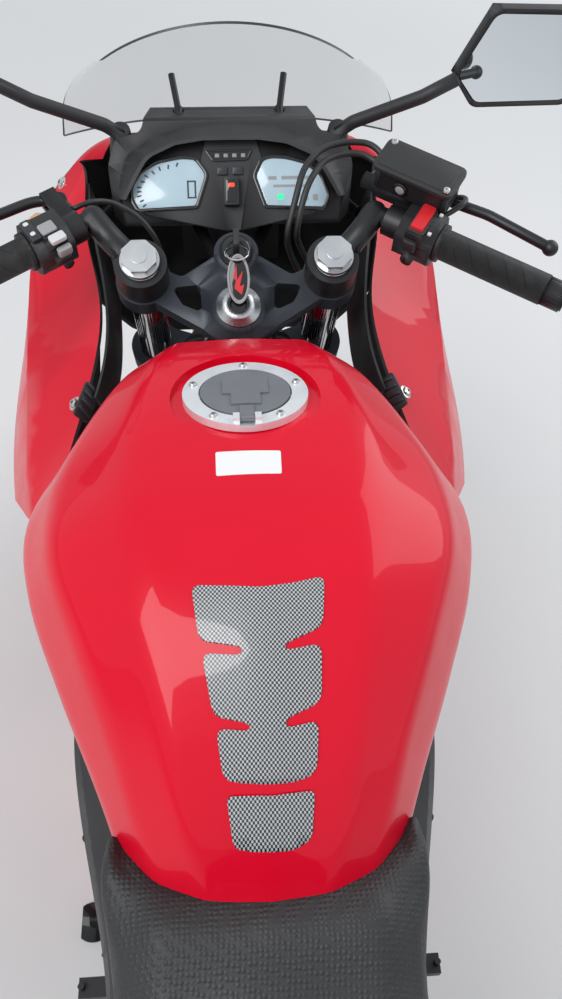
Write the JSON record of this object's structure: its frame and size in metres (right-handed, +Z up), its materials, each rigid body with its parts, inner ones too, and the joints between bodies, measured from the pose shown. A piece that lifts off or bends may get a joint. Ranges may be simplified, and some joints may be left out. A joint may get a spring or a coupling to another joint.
{
  "type": "sport bike",
  "caption": "Fully faired sport motorcycle leaning on its side stand, with turning steering, free wheels, a folding stand and a hinged fuel cap lid.",
  "frame": {"origin": "on the ground under the middle of the parked motorcycle's bounding box", "axes": "+X towards the front wheel, +Y to the rider's left, +Z up; the motorcycle leans 11 degrees to its left on the side stand"},
  "size_m": [2.0863, 0.8325, 1.2533],
  "materials": {
    "tyre_rubber": "matte",
    "wheel_paint": "satin",
    "bright_steel": "brushed",
    "cast_alloy": "satin",
    "dark_alloy": "satin",
    "frame_paint": "satin",
    "engine_alloy": "satin",
    "exhaust_steel": "brushed",
    "red_paint": "gloss",
    "red_plastic": "gloss",
    "black_plastic": "textured",
    "grip_rubber": "matte",
    "seat_cover": "textured",
    "clear_screen": "clear",
    "lens": "clear",
    "mirror_glass": "polished",
    "lamp_red": "gloss",
    "amber_plastic": "gloss",
    "chain_steel": "oiled",
    "hose_rubber": "satin"
  },
  "bodies": {
    "root": {"cap_ring": "cast_alloy", "chain": "chain_steel", "cockpit_panel": "black_plastic", "cowl_stay": "frame_paint", "engine_block": "engine_alloy", "engine_covers": "engine_alloy", "exhaust_headers": "exhaust_steel", "footrests": "dark_alloy", "frame": "frame_paint", "fuel_tank": "red_paint", "headlamp_housing": "black_plastic", "headlamp_lens": "lens", "indicators": "amber_plastic", "inner_panels": "black_plastic", "instruments": "black_plastic", "mirror_glasses": "mirror_glass", "mirrors": "black_plastic", "muffler": "exhaust_steel", "nose_cowl": "red_plastic", "pillion_pegs": "dark_alloy", "pillion_seat": "seat_cover", "radiator": "dark_alloy", "rear_axle": "bright_steel", "rear_caliper": "dark_alloy", "rear_fender": "black_plastic", "rear_shock": "bright_steel", "rider_seat": "seat_cover", "side_covers": "black_plastic", "side_cowls": "red_plastic", "swingarm": "frame_paint", "tail_cowl": "red_plastic", "tail_lamp": "lamp_red", "windscreen": "clear_screen"},
    "steering": {"fork_tubes": "bright_steel", "fork_caps": "cast_alloy", "fork_sliders": "cast_alloy", "front_axle": "bright_steel", "top_bridge": "dark_alloy", "lower_bridge": "dark_alloy", "stem_nuts": "cast_alloy", "ignition_lock": "dark_alloy", "handlebars": "dark_alloy", "grips": "grip_rubber", "left_switchgear": "black_plastic", "right_switchgear": "black_plastic", "clutch_perch": "dark_alloy", "brake_master": "dark_alloy", "levers": "dark_alloy", "front_calipers": "dark_alloy", "front_fender": "red_plastic", "hoses": "hose_rubber"},
    "front_wheel": {"front_tyre": "tyre_rubber", "front_rim": "wheel_paint", "front_discs": "bright_steel"},
    "rear_wheel": {"rear_tyre": "tyre_rubber", "rear_rim": "wheel_paint", "rear_disc": "bright_steel", "rear_sprocket": "chain_steel"},
    "side_stand": {"side_stand": "frame_paint"},
    "fuel_lid": {"fuel_lid": "dark_alloy"}
  },
  "joints": [
    {"name": "steering_turn", "type": "hinge", "parent": "root", "child": "steering", "pos_m": [0.36699, -0.02792, 0.98303], "axis": [-0.4309, 0.1701, 0.8862], "range_deg": [-30, 30]},
    {"name": "front_wheel_spin", "type": "hinge", "parent": "steering", "child": "front_wheel", "pos_m": [0.74329, -0.15963, 0.29571], "axis": [-0.0048, 0.9816, -0.1907], "continuous": true},
    {"name": "rear_wheel_spin", "type": "hinge", "parent": "root", "child": "rear_wheel", "pos_m": [-0.7067, -0.16375, 0.31111], "axis": [-0.0048, 0.9816, -0.1907], "continuous": true},
    {"name": "stand_swing", "type": "hinge", "parent": "root", "child": "side_stand", "pos_m": [-0.06969, -0.16621, 0.28234], "axis": [-0.0048, 0.9816, -0.1907], "range_deg": [0, 95]},
    {"name": "lid_swing", "type": "hinge", "parent": "root", "child": "fuel_lid", "pos_m": [0.14973, -0.02189, 1.01951], "axis": [0.0048, -0.9816, 0.1907], "range_deg": [0, 100]}
  ]
}
